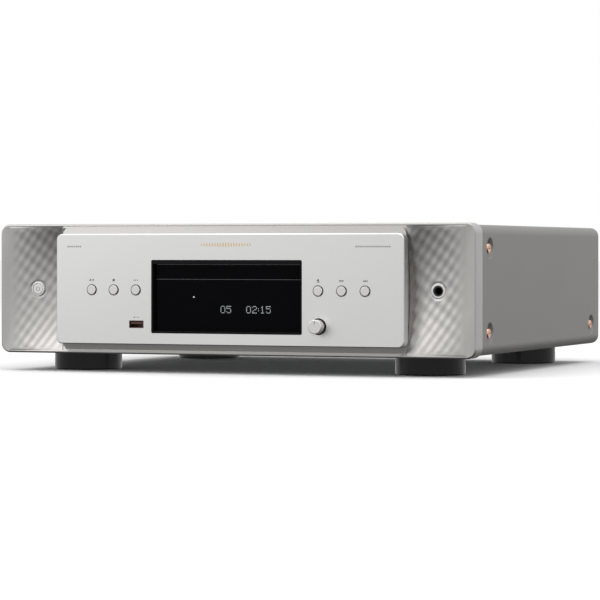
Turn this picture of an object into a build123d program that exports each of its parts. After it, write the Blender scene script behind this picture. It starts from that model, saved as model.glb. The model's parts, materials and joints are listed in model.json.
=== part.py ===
from build123d import *
import os
from math import acos, atan, cos, degrees, pi, radians, sin, sqrt, tan

os.makedirs("parts", exist_ok=True)

# A full-width hi-fi compact disc player. Millimetres, +Z up, front facing -Y.
# The origin is on the floor, under the middle of the player's overall box.

# Case
case_width = 442.0
case_height = 129.0
body_depth = 380.0  # fascia edge to rear panel
foot_gap = 15.8  # floor to the fascia's underside
corner_radius = 8.5
sheet = 1.2  # steel sheet of the cover, pan and rear panel
seam = 0.2  # gap where two fixed sheets meet edge to face
slip = 0.3  # gap between parts that move past one another
turning = 0.05  # radial clearance of a shaft in its bore

# Fascia
fascia_depth = 17.4
fascia_edge_radius = 1.4
dish_margin = 0.3  # flat land between a wing and the rounded edge
lip_height = 3.5  # lip under the raised centre
fascia_wall = 4.0
fascia_skin = 12.4  # front face to the pocket behind it
dish_depth = 9.0  # deepest point of a wing, against the raised centre
boss_half_width = 160.0
boss_radius = 9.0
boss_draft = 0.8  # how far the boss leans back above and below the plate

# Centre plate
plate_width = 322.6
plate_height = 95.7
plate_depth = 9.6
plate_skin = 3.6
plate_rim = 4.0
plate_radius = 5.2
plate_bevel = 0.8
window_width = 140.0
window_height = 63.3
window_low = 34.5
window_radius = 1.5

# Controls
button_radius = 4.0
button_gap = 0.45
button_proud = 1.0
button_travel = 0.8
button_row_z = 71.7
button_first_x = 84.65
button_pitch = 21.1
knob_radius = 6.0
knob_proud = 9.5
knob_gap = 1.15
knob_x = 85.0
knob_z = 41.7
usb_x = -84.1
usb_z = 42.1
usb_width = 13.4
usb_height = 6.2
side_control_x = 186.6
side_control_z = 72.0
ring_radius = 6.4
ring_proud = 0.8
power_cap_radius = 4.7
jack_radius = 3.25
jack_nose_radius = 4.5

# Cover, pan and feet
cover_inset = 1.0
cover_top_drop = 1.5
cover_lift = 1.55
cover_radius = 8.0
cover_lip = 15.0
dimple_radius = 9.25
dimple_floor_radius = 6.0
dimple_depth = 3.0
screw_head_radius = 5.0
screw_radius = 1.9
screw_front_inset = 41.1
screw_rear_inset = 25.7
screw_high_z = 107.7
screw_low_z = 36.2
foot_radius = 30.0
foot_x = 162.1
foot_front_inset = 55.6
foot_rear_inset = 55.1

# Disc mechanism
disc_radius = 60.0
disc_inset = 72.0  # fascia edge to the disc's centre
well_clearance = 0.5
small_disc_radius = 41.0
tray_half_width = 65.0
tray_low = 83.0
tray_high = 92.5
tray_floor = 86.0
tray_length = 192.0
tray_travel = 148.0
slot_half_width = 23.0
door_width = 136.0
door_height = 12.4
door_low = 81.7
door_thickness = 3.0
door_recess = 4.6  # plate front to door front
rail_width = 6.7
frame_floor_z = 70.0
frame_floor = 2.5
frame_back = 215.0
frame_front = 12.0
rack_module = 0.8
gear_teeth = 28
pinion_teeth = 16
gear_inset = 24.0
rack_pitch_x = -34.0
belt_span = 31.0
pulley_radius = 12.0
motor_pulley_radius = 4.0
sled_module = 0.5
sled_gear_teeth = 14
sled_travel = 34.5
traverse_half_width = 20.5
turntable_radius = 15.0
turntable_z = 80.0

# Rear sockets
jack_out = 12.0
rca_radius = 4.15
rca_bore = 1.65
remote_bore = 1.8

# Derived places
front_y = plate_depth + knob_proud - (plate_depth + knob_proud + body_depth + jack_out) / 2
fascia_height = case_height - foot_gap
mid_z = foot_gap + fascia_height / 2
plate_mid_z = mid_z
cover_half = case_width / 2 - cover_inset
cover_high = case_height - cover_top_drop
cover_low = foot_gap + cover_lift
pan_low = cover_low + sheet
pan_high = pan_low + sheet
pan_half = cover_half - cover_radius
disc_y = front_y + disc_inset


def front(depth):
    """Plane facing the listener, a depth behind the fascia's front edge."""
    return Plane(origin=(0, front_y + depth, 0), x_dir=(1, 0, 0), z_dir=(0, -1, 0))


def block(x0, x1, d0, d1, z0, z1, mode=Mode.ADD):
    """Box between two x, two depths behind the fascia's edge and two heights."""
    with Locations(((x0 + x1) / 2, front_y + (d0 + d1) / 2, (z0 + z1) / 2)):
        Box(abs(x1 - x0), abs(d1 - d0), abs(z1 - z0), mode=mode)


def pin_y(x, z, radius, d0, d1, mode=Mode.ADD):
    """Cylinder along Y between two depths."""
    with Locations(Location((x, front_y + (d0 + d1) / 2, z), (90, 0, 0))):
        Cylinder(radius, abs(d1 - d0), mode=mode)


def pin_z(x, depth, radius, z0, z1, mode=Mode.ADD):
    """Cylinder along Z between two heights."""
    with Locations((x, front_y + depth, (z0 + z1) / 2)):
        Cylinder(radius, abs(z1 - z0), mode=mode)


def pin_x(depth, z, radius, x0, x1, mode=Mode.ADD):
    """Cylinder along X between two x."""
    with Locations(Location(((x0 + x1) / 2, front_y + depth, z), (0, 90, 0))):
        Cylinder(radius, abs(x1 - x0), mode=mode)


def slab(plane, centre, size, radius, amount, mode=Mode.ADD):
    """Rounded rectangle on a plane, extruded along its normal."""
    with BuildSketch(plane) as outline:
        with Locations(centre):
            RectangleRounded(size[0], size[1], radius)
    extrude(outline.sketch, amount=amount, mode=mode)


def keep(name, builder):
    """Label a finished piece and write its file."""
    builder.part.label = name
    export_step(builder.part, f"parts/{name}.step")


def tooth_outline(teeth, module, phase, backlash=0.12):
    """Corner points of a stub involute gear, its first tooth at the phase angle in degrees."""
    pitch_r = teeth * module / 2
    base_r = pitch_r * cos(radians(20))
    tip_r = pitch_r + 0.8 * module
    root_r = pitch_r - module
    half_pitch = (pi * module / 2 - backlash) / 2 / pitch_r
    flank_r = max(base_r, root_r)
    radii = [flank_r + (tip_r - flank_r) * step / 4 for step in range(5)]

    def half_angle(radius):
        def involute(r):
            angle = acos(min(1, base_r / r))
            return tan(angle) - angle
        return half_pitch + involute(pitch_r) - involute(radius)

    points = []
    for tooth in range(teeth):
        centre = radians(phase) + 2 * pi * tooth / teeth
        edge = half_angle(radii[0])
        flank = [(root_r, -edge)] if root_r < base_r else []
        flank += [(r, -half_angle(r)) for r in radii]
        flank += [(r, -a) for r, a in reversed(flank)]
        points += [(r * cos(centre + a), r * sin(centre + a)) for r, a in flank]
    return points


def gear(x, depth, teeth, module, phase, z0, z1):
    """Spur gear on the vertical line through x and depth."""
    with BuildSketch(Plane(origin=(x, front_y + depth, z0))) as outline:
        with BuildLine():
            Polyline(*tooth_outline(teeth, module, phase), close=True)
        make_face()
    extrude(outline.sketch, amount=z1 - z0)


def rack(pitch_x, side, centre_depth, d0, d1, module, back, z0, z1, backlash=0.12):
    """Straight rack along Y, its teeth towards side (-1 or +1), a gap at centre_depth."""
    pitch = pi * module
    slope = tan(radians(20))
    half = pitch / 4 - backlash / 2
    tip = 0.8 * module
    root = module
    root_x = pitch_x - side * root
    block(root_x - side * back, root_x, d0, d1, z0, z1)
    first = int((d0 - centre_depth) / pitch)
    last = int((d1 - centre_depth) / pitch)
    for index in range(first, last):
        middle = front_y + centre_depth + (index + 0.5) * pitch
        wide = half + root * slope
        narrow = half - tip * slope
        with BuildSketch(Plane.XY.offset(z0)) as tooth:
            with BuildLine():
                Polyline(
                    (root_x - side * 0.1, middle - wide),
                    (root_x, middle - wide),
                    (pitch_x + side * tip, middle - narrow),
                    (pitch_x + side * tip, middle + narrow),
                    (root_x, middle + wide),
                    (root_x - side * 0.1, middle + wide),
                    close=True,
                )
            make_face()
        extrude(tooth.sketch, amount=z1 - z0)


# ---------------------------------------------------------------- fascia
wing_outer = case_width / 2 - fascia_edge_radius - dish_margin
wing_slope = dish_depth / (wing_outer - boss_half_width)
wing_face = wing_slope * (wing_outer - side_control_x)
ring_front = wing_face - ring_proud
opening_half = window_width / 2 + 6
opening_low = window_low - 4
opening_high = window_low + window_height + 6
button_places = [
    ("play_button", -button_first_x - 2 * button_pitch),
    ("stop_button", -button_first_x - button_pitch),
    ("input_button", -button_first_x),
    ("open_button", button_first_x),
    ("previous_button", button_first_x + button_pitch),
    ("next_button", button_first_x + 2 * button_pitch),
]
pot_half = 5.5
usb_clear = 1.5
dish_low = foot_gap + fascia_edge_radius + dish_margin
dish_high = case_height - fascia_edge_radius - dish_margin

with BuildPart() as front_fascia:
    slab(front(fascia_depth), (0, mid_z), (case_width, fascia_height), corner_radius, fascia_depth)
    front_edges = front_fascia.faces().sort_by(Axis.Y)[0].edges()
    fillet(front_edges, fascia_edge_radius)
    slab(
        front(fascia_depth),
        (0, mid_z),
        (case_width - 2 * fascia_wall, fascia_height - 2 * fascia_wall),
        corner_radius - fascia_wall,
        fascia_depth - fascia_skin,
        Mode.SUBTRACT,
    )
    # each wing is a dish that flattens towards the player's side and runs on behind the boss's corners
    for side in (-1, 1):
        sections = []
        inner_x = boss_half_width - boss_radius
        for x, depth in ((inner_x, wing_slope * (wing_outer - inner_x)), (wing_outer, 0.02)):
            section_plane = Plane(origin=(side * x, front_y, 0), x_dir=(0, 1, 0), z_dir=(1, 0, 0))
            with BuildSketch(section_plane) as section:
                with BuildLine():
                    ThreePointArc((0, dish_low), (depth, (dish_low + dish_high) / 2), (0, dish_high))
                    Polyline((0, dish_high), (-5, dish_high), (-5, dish_low), (0, dish_low))
                make_face()
            sections.append(section.sketch)
        loft(sections, ruled=True, mode=Mode.SUBTRACT)
    # the raised centre that carries the plate, leaning back above and below it
    slab(
        front(fascia_skin),
        (0, (dish_low + dish_high) / 2),
        (2 * boss_half_width, dish_high - dish_low),
        boss_radius,
        fascia_skin,
    )
    for edge, rim in (
        (plate_mid_z + plate_height / 2, dish_high),
        (plate_mid_z - plate_height / 2, foot_gap + lip_height),
    ):
        draft_plane = Plane(origin=(-boss_half_width, front_y, 0), x_dir=(0, 1, 0), z_dir=(1, 0, 0))
        with BuildSketch(draft_plane) as draft:
            with BuildLine():
                Polyline((-1, edge), (0, edge), (boss_draft, rim), (-1, rim), close=True)
            make_face()
        extrude(draft.sketch, amount=2 * boss_half_width, mode=Mode.SUBTRACT)
    block(-opening_half, opening_half, -1, fascia_skin + 1, opening_low, opening_high, Mode.SUBTRACT)
    for side in (-1, 1):
        pin_y(side * side_control_x, side_control_z, ring_radius, -1, fascia_skin + 1, Mode.SUBTRACT)
    block(
        knob_x - pot_half - 1,
        knob_x + pot_half + 1,
        -1,
        fascia_skin + 1,
        knob_z - pot_half - 1,
        knob_z + pot_half + 1,
        Mode.SUBTRACT,
    )
    block(
        usb_x - usb_width / 2 - usb_clear,
        usb_x + usb_width / 2 + usb_clear,
        -1,
        fascia_skin + 1,
        usb_z - usb_height / 2 - usb_clear,
        usb_z + usb_height / 2 + usb_clear,
        Mode.SUBTRACT,
    )
keep("front_fascia", front_fascia)

# ---------------------------------------------------------------- centre plate and window
window_mid_z = window_low + window_height / 2
skin_back = plate_skin - plate_depth
usb_seam = 0.15

with BuildPart() as centre_plate:
    slab(front(0), (0, plate_mid_z), (plate_width, plate_height), plate_radius, plate_depth)
    plate_edges = centre_plate.faces().sort_by(Axis.Y)[0].edges()
    chamfer(plate_edges, plate_bevel)
    slab(
        front(0),
        (0, plate_mid_z),
        (plate_width - 2 * plate_rim, plate_height - 2 * plate_rim),
        plate_radius / 2,
        -skin_back,
        Mode.SUBTRACT,
    )
    slab(front(0), (0, window_mid_z), (window_width, window_height), window_radius, plate_depth + 1, Mode.SUBTRACT)
    for name, x in button_places:
        pin_y(x, button_row_z, button_radius + button_gap, -plate_depth - 1, 0, Mode.SUBTRACT)
    pin_y(knob_x, knob_z, knob_radius + knob_gap, -plate_depth - 1, 0, Mode.SUBTRACT)
    block(
        usb_x - usb_width / 2 - usb_seam,
        usb_x + usb_width / 2 + usb_seam,
        -plate_depth - 1,
        0,
        usb_z - usb_height / 2 - usb_seam,
        usb_z + usb_height / 2 + usb_seam,
        Mode.SUBTRACT,
    )
keep("centre_plate", centre_plate)

bezel_side = 1.5
bezel_top = 3.5
bezel_foot = 2.0
bezel_inset = 0.4  # bezel front behind the plate's face
bezel_gap = 0.1
bezel_flange = 3.0
glass_inset = 4.6
glass_thickness = 1.5
display_gap = 0.3
door_front = door_recess - plate_depth
glass_front = glass_inset - plate_depth
bezel_open_half = window_width / 2 - bezel_side
bezel_open_low = window_low + bezel_foot
bezel_open_high = window_low + window_height - bezel_top
bezel_back = -2.0
glass_high = door_low - slip

with BuildPart() as window_bezel:
    slab(
        front(bezel_back),
        (0, window_mid_z),
        (window_width - 2 * bezel_gap, window_height - 2 * bezel_gap),
        window_radius,
        plate_depth + bezel_back - bezel_inset,
    )
    slab(
        front(bezel_back),
        (0, window_mid_z),
        (window_width + 2 * bezel_flange, window_height + 2 * bezel_flange),
        window_radius,
        bezel_back - skin_back - bezel_gap,
    )
    block(
        -bezel_open_half,
        bezel_open_half,
        -plate_depth - 1,
        1,
        bezel_open_low,
        bezel_open_high,
        Mode.SUBTRACT,
    )
keep("window_bezel", window_bezel)

with BuildPart() as display_window:
    block(
        bezel_gap - bezel_open_half,
        bezel_open_half - bezel_gap,
        glass_front,
        glass_front + glass_thickness,
        bezel_open_low + bezel_gap,
        glass_high,
    )
keep("display_window", display_window)

# ---------------------------------------------------------------- front electronics
board = 1.6
board_front = -1.8
board_back = board_front + board
board_half = plate_width / 2 - plate_rim - 2
board_low = plate_mid_z - plate_height / 2 + plate_rim + 1
board_high = plate_mid_z + plate_height / 2 - plate_rim - 1
switch_half = 3.0
switch_depth = 2.1
side_board_front = fascia_depth - 0.2 - board
side_switch_depth = 2.3
bushing_radius = 3.7
shaft_radius = 3.0

with BuildPart() as front_board:
    block(-board_half, board_half, board_front, board_back, board_low, board_high)
    block(
        -window_width / 2 - bezel_flange - 1,
        window_width / 2 + bezel_flange + 1,
        board_front - 1,
        board_back + 1,
        door_low - 2,
        board_high + 1,
        Mode.SUBTRACT,
    )
    pin_y(knob_x, knob_z, bushing_radius + seam, board_front - 1, board_back + 1, Mode.SUBTRACT)
    block(
        usb_x - usb_width / 2 - usb_seam,
        usb_x + usb_width / 2 + usb_seam,
        board_front - 1,
        board_back + 1,
        usb_z - usb_height / 2 - usb_seam,
        usb_z + usb_height / 2 + usb_seam,
        Mode.SUBTRACT,
    )
    block(
        -side_control_x - 14,
        -side_control_x + 14,
        side_board_front,
        side_board_front + board,
        side_control_z - 12,
        side_control_z + 12,
    )
keep("front_board", front_board)

with BuildPart() as key_switches:
    for name, x in button_places:
        block(
            x - switch_half,
            x + switch_half,
            board_front - switch_depth,
            board_front,
            button_row_z - switch_half,
            button_row_z + switch_half,
        )
    block(
        -side_control_x - switch_half,
        -side_control_x + switch_half,
        side_board_front - side_switch_depth,
        side_board_front,
        side_control_z - switch_half,
        side_control_z + switch_half,
    )
keep("key_switches", key_switches)

with BuildPart() as display_module:
    block(-48, 52, glass_front + glass_thickness + display_gap, board_front, 44, 74)
keep("display_module", display_module)

# ---------------------------------------------------------------- buttons
flange_radius = button_radius + button_gap + 0.9
flange_front = skin_back + slip
flange_depth = 0.8

for name, x in button_places:
    with BuildPart() as button:
        pin_y(x, button_row_z, button_radius, -plate_depth - button_proud, flange_front + flange_depth)
        cap_edge = button.faces().sort_by(Axis.Y)[0].edges()
        fillet(cap_edge, 0.35)
        pin_y(x, button_row_z, flange_radius, flange_front, flange_front + flange_depth)
    keep(name, button)

power_flange_front = fascia_skin - 1.3
power_flange_radius = power_cap_radius + 1.2
ring_back = power_flange_front - slip

with BuildPart() as power_button:
    pin_y(-side_control_x, side_control_z, power_cap_radius, ring_front + 0.1, power_flange_front + 1.0)
    cap_edge = power_button.faces().sort_by(Axis.Y)[0].edges()
    fillet(cap_edge, 0.4)
    pin_y(-side_control_x, side_control_z, power_flange_radius, power_flange_front, power_flange_front + 1.0)
keep("power_button", power_button)

with BuildPart() as power_ring:
    pin_y(-side_control_x, side_control_z, ring_radius, ring_front, ring_back)
    ring_edge = power_ring.faces().sort_by(Axis.Y)[0].edges()
    fillet(ring_edge, 0.5)
    pin_y(-side_control_x, side_control_z, power_cap_radius + 0.25, 0, fascia_skin, Mode.SUBTRACT)
keep("power_ring", power_ring)

# ---------------------------------------------------------------- level control
knob_front = -plate_depth - knob_proud
knob_back = -plate_depth + 1.2
shaft_front = knob_front + 3.0
pot_back = 9.0

with BuildPart() as level_knob:
    pin_y(knob_x, knob_z, knob_radius, knob_front, knob_back)
    knob_edge = level_knob.faces().sort_by(Axis.Y)[0].edges()
    fillet(knob_edge, 0.6)
    pin_y(knob_x, knob_z, shaft_radius + 0.02, shaft_front, knob_back + 1, Mode.SUBTRACT)
keep("level_knob", level_knob)

with BuildPart() as level_shaft:
    pin_y(knob_x, knob_z, shaft_radius, shaft_front, pot_back - 3)
keep("level_shaft", level_shaft)

with BuildPart() as level_pot:
    block(knob_x - pot_half, knob_x + pot_half, board_back, pot_back, knob_z - pot_half, knob_z + pot_half)
    pin_y(knob_x, knob_z, bushing_radius, -5.5, board_back + 1)
    pin_y(knob_x, knob_z, shaft_radius + turning, -6.5, pot_back - 2.5, Mode.SUBTRACT)
keep("level_pot", level_pot)

# ---------------------------------------------------------------- front sockets
usb_wall = 0.4
usb_front = -plate_depth - 0.1
usb_back = 4.0
usb_throat = 1.0

with BuildPart() as usb_socket:
    block(
        usb_x - usb_width / 2,
        usb_x + usb_width / 2,
        usb_front,
        usb_back,
        usb_z - usb_height / 2,
        usb_z + usb_height / 2,
    )
    block(
        usb_x - usb_width / 2 + usb_wall,
        usb_x + usb_width / 2 - usb_wall,
        usb_front - 1,
        usb_throat,
        usb_z - usb_height / 2 + usb_wall,
        usb_z + usb_height / 2 - usb_wall,
        Mode.SUBTRACT,
    )
    block(usb_x - 5.5, usb_x + 5.5, usb_front + 1.0, usb_throat + 0.5, usb_z + 0.3, usb_z + 2.0)
keep("usb_socket", usb_socket)

socket_half = 7.0
socket_back = 40.0
jack_end = socket_back - 3.0
jack_front = ring_front + 0.6

with BuildPart() as headphone_socket:
    pin_y(side_control_x, side_control_z, jack_nose_radius, jack_front, fascia_skin + 1)
    block(
        side_control_x - socket_half,
        side_control_x + socket_half,
        fascia_skin,
        socket_back,
        side_control_z - socket_half,
        side_control_z + socket_half,
    )
    pin_y(side_control_x, side_control_z, jack_radius, jack_front - 1, jack_end, Mode.SUBTRACT)
keep("headphone_socket", headphone_socket)

with BuildPart() as headphone_ring:
    pin_y(side_control_x, side_control_z, ring_radius, ring_front, fascia_skin)
    ring_edge = headphone_ring.faces().sort_by(Axis.Y)[0].edges()
    fillet(ring_edge, 0.5)
    pin_y(side_control_x, side_control_z, jack_nose_radius + 0.05, 0, fascia_skin + 1, Mode.SUBTRACT)
keep("headphone_ring", headphone_ring)

# ---------------------------------------------------------------- cover
cover_mid_z = (cover_low + cover_high) / 2
cover_tall = cover_high - cover_low
screw_columns = [
    (screw_front_inset, (screw_high_z, screw_low_z)),
    (body_depth - screw_rear_inset, (screw_low_z,)),
]
dimple_places = [(depth, z) for depth, heights in screw_columns for z in heights]
floor_x = cover_half - dimple_depth

with BuildPart() as top_cover:
    slab(
        front(body_depth),
        (0, cover_mid_z),
        (2 * cover_half, cover_tall),
        cover_radius,
        body_depth - fascia_depth,
    )
    slab(
        front(body_depth),
        (0, cover_mid_z),
        (2 * (cover_half - sheet), cover_tall - 2 * sheet),
        cover_radius - sheet,
        body_depth - fascia_depth,
        Mode.SUBTRACT,
    )
    block(
        cover_lip - cover_half,
        cover_half - cover_lip,
        fascia_depth - 1,
        body_depth + 1,
        cover_low - 1,
        cover_low + sheet + 1,
        Mode.SUBTRACT,
    )
    for side in (-1, 1):
        for depth, z in dimple_places:
            turn = 90 * side
            with Locations(Location((side * (floor_x - sheet + dimple_depth / 2), front_y + depth, z), (0, turn, 0))):
                Cone(dimple_floor_radius + sheet, dimple_radius + sheet, dimple_depth)
            with Locations(Location((side * (floor_x + dimple_depth / 2), front_y + depth, z), (0, turn, 0))):
                Cone(dimple_floor_radius, dimple_radius, dimple_depth, mode=Mode.SUBTRACT)
            pin_x(depth, z, screw_radius + 0.3, side * (floor_x - 2 * sheet), side * cover_half, Mode.SUBTRACT)
keep("top_cover", top_cover)

screw_length = 9.0

with BuildPart() as cover_screws:
    for side in (-1, 1):
        for depth, z in dimple_places:
            pin_x(depth, z, screw_radius, side * (floor_x - screw_length), side * (floor_x + 0.5))
            head_x = side * (floor_x + 1.2)
            with Locations(Location((head_x, front_y + depth, z), (0, 90 * side, 0))):
                Cone(screw_head_radius, screw_head_radius - 1.2, 2.4)
            with Locations(Location((side * (floor_x + 2.0), front_y + depth, z), (0, 90, 0))):
                Box(1.0, 5.0, 1.2, mode=Mode.SUBTRACT)
                Box(1.2, 1.2, 5.0, mode=Mode.SUBTRACT)
                Box(1.2, 5.0, 1.2, mode=Mode.SUBTRACT)
keep("cover_screws", cover_screws)

# ---------------------------------------------------------------- base pan
pan_front = fascia_depth + seam
pan_back = body_depth - sheet - seam
pan_flange_high = pan_high + 9.0
post_reach = floor_x - sheet - 0.1
frame_leg_places = [(x, depth) for x in (-62, 62) for depth in (25, 205)]
damper_low = 34.0
damper_high = 40.0
board_z = 30.0
power_board_box = (-205, -100, 160, 240)
audio_board_box = (85, 205, 220, 365)


def board_corners(box):
    """Four mounting places, in from a board's corners."""
    return [(x, d) for x in (box[0] + 6, box[1] - 6) for d in (box[2] + 6, box[3] - 6)]


with BuildPart() as base_pan:
    block(-pan_half, pan_half, pan_front, pan_back, pan_low, pan_high)
    for side in (-1, 1):
        block(side * (pan_half - sheet), side * pan_half, pan_front, pan_back, pan_low, pan_flange_high)
    block(-pan_half, pan_half, pan_back - sheet, pan_back, pan_low, pan_flange_high)
    block(-pan_half, pan_half, pan_front, pan_front + sheet, pan_low, pan_flange_high)
keep("base_pan", base_pan)

bracket_out = pan_half - sheet
bracket_thickness = 3.0
bracket_half = 8.0

with BuildPart() as chassis_brackets:
    for side in (-1, 1):
        # the two front screws of a side share one tall bracket
        for depth, heights in screw_columns:
            d0, d1 = depth - bracket_half, depth + bracket_half
            inner = side * (bracket_out - bracket_thickness)
            block(inner, side * bracket_out, d0, d1, pan_high, max(heights) + bracket_half)
            for z in heights:
                low = max(z - bracket_half, pan_flange_high + seam)
                block(inner, side * post_reach, d0, d1, low, z + bracket_half)
                pin_x(depth, z, screw_radius + 0.02, side * (bracket_out - 5), side * cover_half, Mode.SUBTRACT)
    for x, depth in frame_leg_places:
        pin_z(x, depth, 5, pan_high, damper_low)
    for x, depth in board_corners(power_board_box) + board_corners(audio_board_box):
        pin_z(x, depth, 3, pan_high, board_z)
keep("chassis_brackets", chassis_brackets)

for name, x, depth in (
    ("foot_front_left", -foot_x, foot_front_inset),
    ("foot_front_right", foot_x, foot_front_inset),
    ("foot_rear_left", -foot_x, body_depth - foot_rear_inset),
    ("foot_rear_right", foot_x, body_depth - foot_rear_inset),
):
    with BuildPart() as foot:
        pin_z(x, depth, foot_radius, 0, pan_low)
        foot_edge = foot.faces().sort_by(Axis.Z)[0].edges()
        fillet(foot_edge, 1.2)
        pin_z(x, depth, foot_radius - 9, 0, 2.5, Mode.SUBTRACT)
        pin_z(x, depth, 5, 0, 12, Mode.SUBTRACT)
    keep(name, foot)

# ---------------------------------------------------------------- rear panel
rear_half = cover_half - sheet - seam
rear_tall = cover_tall - 2 * sheet - 2 * seam
socket_z = 72.0
analog_left_x = 165.0
analog_right_x = 135.0
coax_x = 90.0
optical_x = 60.0
remote_places = (15.0, -10.0)
inlet_x = -165.0
inlet_z = 68.0
inlet_width = 27.4
inlet_height = 19.8
optical_half = 5.0
rca_collar = 5.0
rear_screw_places = [(x, pan_high + 5) for x in (-150, -50, 50, 150)]

with BuildPart() as rear_panel:
    slab(front(body_depth), (0, cover_mid_z), (2 * rear_half, rear_tall), cover_radius - sheet, sheet)
    for x in (analog_left_x, analog_right_x, coax_x, *remote_places):
        pin_y(x, socket_z, rca_collar + seam / 2, body_depth - 3, body_depth + 1, Mode.SUBTRACT)
    block(
        optical_x - optical_half,
        optical_x + optical_half,
        body_depth - 3,
        body_depth + 1,
        socket_z - optical_half,
        socket_z + optical_half,
        Mode.SUBTRACT,
    )
    block(
        inlet_x - inlet_width / 2,
        inlet_x + inlet_width / 2,
        body_depth - 3,
        body_depth + 1,
        inlet_z - inlet_height / 2,
        inlet_z + inlet_height / 2,
        Mode.SUBTRACT,
    )
    for x, z in rear_screw_places:
        pin_y(x, z, 1.6, body_depth - 3, body_depth + 1, Mode.SUBTRACT)
keep("rear_panel", rear_panel)

with BuildPart() as rear_screws:
    for x, z in rear_screw_places:
        pin_y(x, z, 1.5, body_depth - sheet, body_depth + 0.5)
        pin_y(x, z, 3.0, body_depth, body_depth + 1.8)
        block(x - 2, x + 2, body_depth + 1.0, body_depth + 2, z - 0.4, z + 0.4, Mode.SUBTRACT)
        block(x - 0.4, x + 0.4, body_depth + 1.0, body_depth + 2, z - 2, z + 2, Mode.SUBTRACT)
keep("rear_screws", rear_screws)


def phono_socket(x):
    """Phono socket with a collar, a barrel and a centre contact's bore."""
    pin_y(x, socket_z, rca_collar, body_depth - 14, body_depth)
    pin_y(x, socket_z, rca_collar + 1, body_depth, body_depth + 2)
    pin_y(x, socket_z, rca_radius, body_depth, body_depth + jack_out)
    pin_y(x, socket_z, rca_bore, body_depth + jack_out - 9, body_depth + jack_out + 1, Mode.SUBTRACT)


for name, x in (
    ("analog_out_left", analog_left_x),
    ("analog_out_right", analog_right_x),
    ("coaxial_out", coax_x),
):
    with BuildPart() as phono:
        phono_socket(x)
    keep(name, phono)

remote_length = 12.0

with BuildPart() as remote_sockets:
    for x in remote_places:
        pin_y(x, socket_z, rca_collar, body_depth - remote_length, body_depth)
        pin_y(x, socket_z, rca_collar + 1, body_depth, body_depth + 1.5)
        pin_y(x, socket_z, remote_bore, body_depth - remote_length + 2, body_depth + 2, Mode.SUBTRACT)
keep("remote_sockets", remote_sockets)

with BuildPart() as optical_out:
    block(
        optical_x - optical_half,
        optical_x + optical_half,
        body_depth - 14,
        body_depth,
        socket_z - optical_half,
        socket_z + optical_half,
    )
    block(optical_x - 6.5, optical_x + 6.5, body_depth, body_depth + 1, socket_z - 6.5, socket_z + 6.5)
    block(
        optical_x - 4.1,
        optical_x + 4.1,
        body_depth - 7,
        body_depth + 2,
        socket_z - 4.1,
        socket_z + 4.1,
        Mode.SUBTRACT,
    )
keep("optical_out", optical_out)

inlet_wall = 1.7
inlet_mouth_depth = 17.0
inlet_pin = 12.0

with BuildPart() as mains_inlet:
    block(
        inlet_x - inlet_width / 2,
        inlet_x + inlet_width / 2,
        body_depth - 22,
        body_depth,
        inlet_z - inlet_height / 2,
        inlet_z + inlet_height / 2,
    )
    slab(
        front(body_depth + 2),
        (inlet_x, inlet_z),
        (inlet_width + 20, inlet_height + 4),
        4,
        2,
    )
    block(
        inlet_x - inlet_width / 2 + inlet_wall,
        inlet_x + inlet_width / 2 - inlet_wall,
        body_depth + 2 - inlet_mouth_depth,
        body_depth + 3,
        inlet_z - inlet_height / 2 + inlet_wall,
        inlet_z + inlet_height / 2 - inlet_wall,
        Mode.SUBTRACT,
    )
    pin_root = body_depth + 2 - inlet_mouth_depth
    for x, z in ((inlet_x - 7, inlet_z - 2), (inlet_x + 7, inlet_z - 2), (inlet_x, inlet_z + 2)):
        block(x - 1, x + 1, pin_root - 1, pin_root + inlet_pin, z - 2, z + 2)
keep("mains_inlet", mains_inlet)

# ---------------------------------------------------------------- disc tray
well_radius = disc_radius + well_clearance
slot_front = disc_inset - 22
tray_front = door_front + door_thickness
rack_back = 3.2
rack_low = door_low + 0.2
rack_high = 84.6  # ceiling of the channel that the gear runs in
gear_radius = gear_teeth * rack_module / 2
gear_x = rack_pitch_x - gear_radius

with BuildPart() as tray_door:
    block(
        -door_width / 2,
        door_width / 2,
        door_front,
        tray_front,
        door_low,
        door_low + door_height,
    )
    door_edges = tray_door.faces().sort_by(Axis.Y)[0].edges()
    chamfer(door_edges, 0.4)
keep("tray_door", tray_door)

with BuildPart() as disc_tray:
    block(-tray_half_width, tray_half_width, tray_front, tray_front + tray_length, tray_low, tray_high)
    pin_z(0, disc_inset, well_radius, tray_floor, tray_high + 1, Mode.SUBTRACT)
    pin_z(0, disc_inset, small_disc_radius, tray_floor - 0.4, tray_floor, Mode.SUBTRACT)
    block(
        -slot_half_width,
        slot_half_width,
        slot_front + slot_half_width,
        tray_front + tray_length + 1,
        tray_low - 1,
        tray_high + 1,
        Mode.SUBTRACT,
    )
    pin_z(0, slot_front + slot_half_width, slot_half_width, tray_low - 1, tray_high + 1, Mode.SUBTRACT)
    # finger scallops at the sides of the well
    for side in (-1, 1):
        block(side * 50, side * (tray_half_width + 1), disc_inset - 14, disc_inset + 14, tray_floor + 2, tray_high + 1, Mode.SUBTRACT)
    block(
        gear_x - gear_radius - 1.6,
        rack_pitch_x + rack_back,
        gear_inset - gear_radius - 1.8,
        tray_front + tray_length + 1,
        tray_low - 1,
        rack_high,
        Mode.SUBTRACT,
    )
    rack(
        rack_pitch_x,
        -1,
        gear_inset,
        gear_inset - 8,
        gear_inset + tray_travel + 8,
        rack_module,
        rack_back,
        rack_low,
        rack_high,
    )
keep("disc_tray", disc_tray)

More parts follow.
